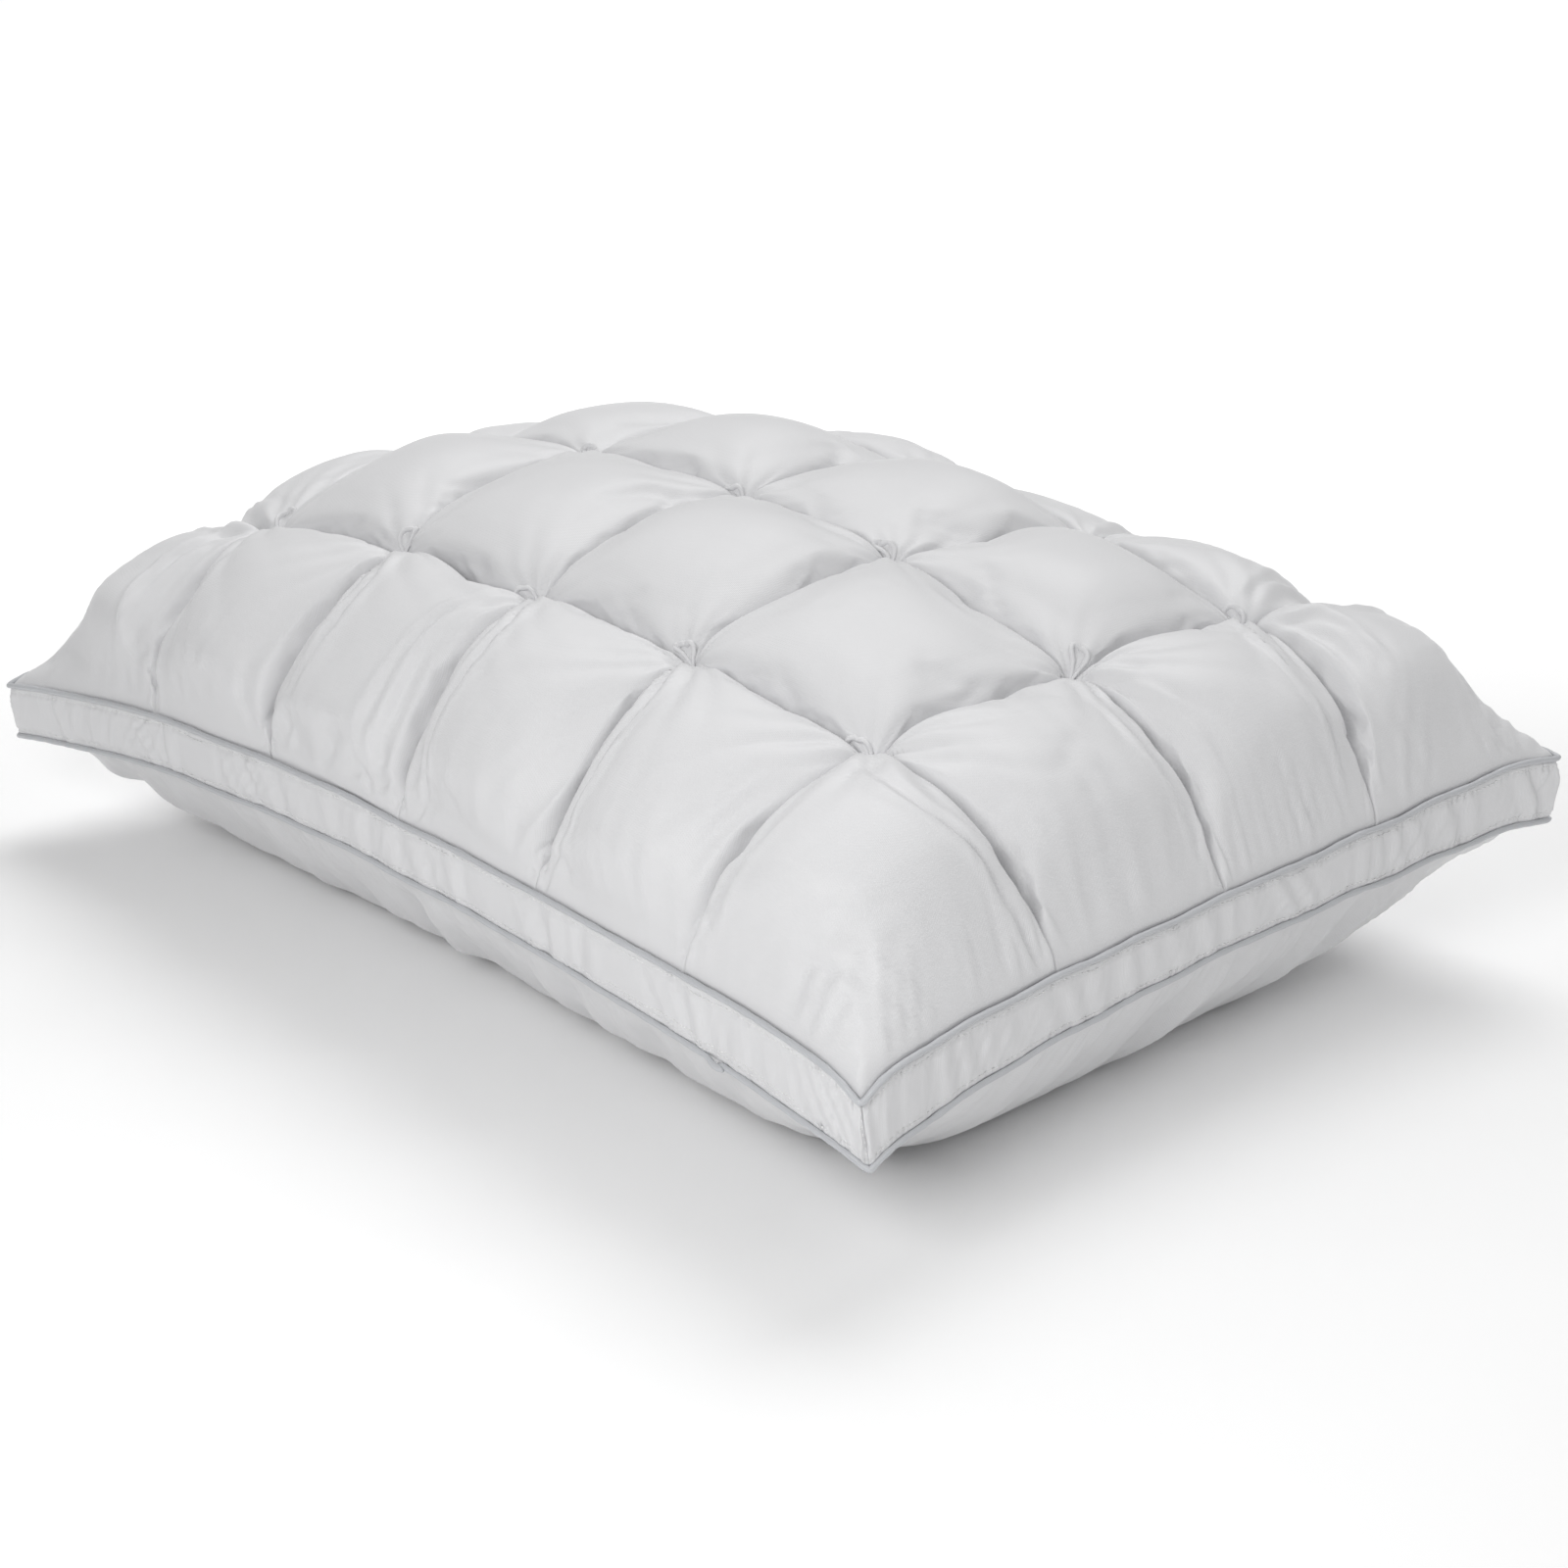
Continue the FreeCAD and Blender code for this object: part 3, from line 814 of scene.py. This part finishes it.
def tube_faces(ring, closed=False):
    """The skin of a tube given as rings of points."""
    n, sides = ring.shape[:2]
    index = np.arange(n * sides).reshape(n, sides)
    aside = np.roll(index, -1, 1)
    if closed:
        corners = [index, np.roll(index, -1, 0), np.roll(aside, -1, 0), aside]
        faces = np.stack(corners, -1).reshape(-1, 4).tolist()
    else:
        corners = [index[:-1], index[1:], aside[1:], aside[:-1]]
        faces = np.stack(corners, -1).reshape(-1, 4).tolist()
        faces += [index[0].tolist(), index[-1][::-1].tolist()]
    return ring.reshape(-1, 3), faces


def piping_places(side):
    return side_places(round(half_length(side) * 2 / PIPING_STEP))[:-1]


def piping_path(share, start):
    """Points once round the outline. start is where on the front side it begins."""
    path = []
    for side, outline in SIDES.items():
        u, v = outline(piping_places(side))
        path.append(girdle(u, v, share, PIPING_OUTSET))
    first = int(np.searchsorted(piping_places("front"), start))
    return np.roll(np.concatenate(path), -first, 0)


def piping(name, share, material, lap=0):
    """A covered cord. With a lap, its two ends meet and the last few points step over the first."""
    path = piping_path(share, PIPING_JOIN)
    if lap:
        path = np.concatenate([path, path[:lap]])
        over = smooth((np.arange(len(path)) - len(path) + 2 * lap) / lap)[:, None]
        path = path + over * np.array([0.0, -0.0022, -0.0006])
        ahead = unit(np.gradient(path, axis=0))
    else:
        ahead = unit(np.roll(path, -1, 0) - np.roll(path, 1, 0))
    across = unit(np.cross(ahead, [0, 0, 1.0]))
    up = np.cross(across, ahead)
    size = PIPING_RADIUS * (1 + 0.05 * waves(400, 0.02, np.arange(len(path)) * PIPING_STEP))
    if lap:
        near_end = np.minimum(np.arange(len(path)), np.arange(len(path))[::-1])
        size = size * np.sqrt(np.clip((near_end + 0.3) / 1.3, 0, 1))
    turn = np.linspace(0, 2 * np.pi, PIPING_SIDES, endpoint=False)[None, :, None]
    section = across[:, None] * np.cos(turn) + up[:, None] * np.sin(turn)
    points, faces = tube_faces(path[:, None] + section * size[:, None, None], closed=not lap)
    return new_piece(name, points, faces, material)


# --- materials --------------------------------------------------------------------------------


def weave(nodes, links, coords, pitch):
    """Height of fine threads: fine waves along all three axes, added up."""
    total = None
    for way in ("X", "Y", "Z"):
        wave = nodes.new("ShaderNodeTexWave")
        wave.bands_direction = way
        wave.inputs["Scale"].default_value = 2 * math.pi / (20 * pitch)
        wave.inputs["Distortion"].default_value = 1.2
        wave.inputs["Detail"].default_value = 1.0
        links.new(coords.outputs["Object"], wave.inputs["Vector"])
        if total is None:
            total = wave.outputs["Fac"]
            continue
        add = nodes.new("ShaderNodeMath")
        add.operation = "ADD"
        links.new(total, add.inputs[0])
        links.new(wave.outputs["Fac"], add.inputs[1])
        total = add.outputs[0]
    return total


def tint(nodes, links, coords, color):
    """The cloth's colour, a little darker here and there."""
    noise = nodes.new("ShaderNodeTexNoise")
    noise.inputs["Scale"].default_value = 60
    noise.inputs["Detail"].default_value = 3
    links.new(coords.outputs["Object"], noise.inputs["Vector"])
    ramp = nodes.new("ShaderNodeValToRGB")
    ramp.color_ramp.elements[0].color = (*[c * 0.97 for c in color], 1)
    ramp.color_ramp.elements[1].color = (*color, 1)
    links.new(noise.outputs["Fac"], ramp.inputs["Fac"])
    return ramp.outputs["Color"]


def cloth_material(name, color, roughness, pitch, relief, sheen):
    """Woven cloth. pitch is from thread to thread, and relief is how strong the weave's bump is."""
    material = bpy.data.materials.new(name)
    material.use_nodes = True
    nodes, links = material.node_tree.nodes, material.node_tree.links
    shader = nodes["Principled BSDF"]
    shader.inputs["Roughness"].default_value = roughness
    shader.inputs["Sheen Weight"].default_value = sheen
    shader.inputs["Sheen Roughness"].default_value = 0.4
    shader.inputs["Specular IOR Level"].default_value = 0.35
    coords = nodes.new("ShaderNodeTexCoord")
    links.new(tint(nodes, links, coords, color), shader.inputs["Base Color"])
    bumps = nodes.new("ShaderNodeBump")
    bumps.inputs["Distance"].default_value = 0.0001
    bumps.inputs["Strength"].default_value = relief
    links.new(weave(nodes, links, coords, pitch), bumps.inputs["Height"])
    links.new(bumps.outputs["Normal"], shader.inputs["Normal"])
    return material


# --- floor, camera and lights -----------------------------------------------------------------


def floor():
    mesh = bpy.data.meshes.new("floor")
    mesh.from_pydata([(-6, -6, 0), (6, -6, 0), (6, 6, 0), (-6, 6, 0)], [], [(0, 1, 2, 3)])
    sheet = bpy.data.objects.new("floor", mesh)
    bpy.context.scene.collection.objects.link(sheet)
    paint = bpy.data.materials.new("floor_paint")
    paint.use_nodes = True
    shader = paint.node_tree.nodes["Principled BSDF"]
    shader.inputs["Base Color"].default_value = (0.98, 0.98, 0.98, 1)
    shader.inputs["Roughness"].default_value = 0.9
    mesh.materials.append(paint)


def direction(azimuth, elevation):
    """The way to a place in degrees: azimuth 0 is the front and 90 the right side."""
    az, el = math.radians(azimuth), math.radians(elevation)
    return Vector((math.sin(az) * math.cos(el), -math.cos(az) * math.cos(el), math.sin(el)))


def aimed(name, data, back, place=(0, 0, 0)):
    """Puts a light or a camera in the scene. back points away from what it is aimed at."""
    item = bpy.data.objects.new(name, data)
    bpy.context.scene.collection.objects.link(item)
    item.location = place
    item.rotation_euler = back.to_track_quat("Z", "Y").to_euler()
    return item


def camera():
    back = direction(VIEW_AZIMUTH, VIEW_ELEVATION)
    data = bpy.data.cameras.new("camera")
    data.lens = LENS
    data.clip_start = 0.05
    place = Vector(VIEW_TARGET) + back * VIEW_DISTANCE
    bpy.context.scene.camera = aimed("camera", data, back, place)


def sun(name, azimuth, elevation, strength, spread):
    """A far light. spread is how wide it looks, in degrees."""
    data = bpy.data.lights.new(name, "SUN")
    data.energy = strength
    data.angle = math.radians(spread)
    aimed(name, data, direction(azimuth, elevation))


def softbox(name, place, target, size, power):
    data = bpy.data.lights.new(name, "AREA")
    data.shape = "RECTANGLE"
    data.size, data.size_y = size
    data.energy = power
    aimed(name, data, Vector(place) - Vector(target), place)


def daylight(strength):
    world = bpy.data.worlds.new("world")
    bpy.context.scene.world = world
    world.use_nodes = True
    background = world.node_tree.nodes["Background"]
    background.inputs["Color"].default_value = (1, 1, 1, 1)
    background.inputs["Strength"].default_value = strength


# --- the pillow and its scene -----------------------------------------------------------------

COTTON = cloth_material("panel_cotton", (0.74, 0.74, 0.75), 0.48, 0.0008, 0.25, 0.15)
GUSSET = cloth_material("gusset_cotton", (0.74, 0.74, 0.75), 0.5, 0.0008, 0.25, 0.15)
# The piping's grey is partly the cord's own light grey and partly painted shade. It is made darker so
# that the thin tube also carries the shade lines along both its edges.
SATIN = cloth_material("piping_satin", (0.54, 0.55, 0.57), 0.30, 0.0008, 0.25, 0.1)
THREAD = cloth_material("thread", (0.82, 0.82, 0.82), 0.5, 0.0004, 0.3, 0.1)

top, quilt = quilted_top(COTTON)
loops = pinch_loops(quilt, COTTON)
low = bottom_cushion(COTTON)
gussets = [gusset_cloth(side, GUSSET) for side in SIDES]
upper = piping("upper_piping", 1.0, SATIN)
lower = piping("lower_piping", 0.0, SATIN, lap=3)
cells = [f"cell_filling_c{c}_r{r}" for c in range(1, COLUMNS + 1) for r in range(1, ROWS + 1)]
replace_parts(top, "top_panel", "quilt_backing", *cells)
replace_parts(loops, "tuck_tacks")
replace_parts(low, "bottom_panel", "core_filling")
for g, side in zip(gussets, SIDES):
    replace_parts(g, f"gusset_{side}")
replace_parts(upper, "top_piping_cover", "top_piping_cord")
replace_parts(lower, "bottom_piping_cover", "bottom_piping_cord")
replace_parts(topstitch("upper_stitches", STITCH_SHARES[1], THREAD), "upper_topstitch")
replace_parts(topstitch("lower_stitches", STITCH_SHARES[0], THREAD), "lower_topstitch")
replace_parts(closing_stitches(THREAD), "closing_seam")
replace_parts(corner_stitches(THREAD), "gusset_corner_stitches")

floor()
camera()
sun("overhead", azimuth=205, elevation=58, strength=0.85, spread=35)
softbox("key", (0.55, -1.0, 0.8), (0.15, -0.1, 0.1), size=(0.6, 0.45), power=5.6)
softbox("right", (0.95, -0.1, 0.95), (0.2, 0.0, 0.1), size=(0.7, 0.5), power=1.15)
softbox("backdrop", (-1.2, 1.2, 1.9), (-2.1, 2.1, 0.0), size=(2.4, 2.4), power=50.0)
daylight(0.37)
bpy.context.scene.view_settings.view_transform = "Standard"
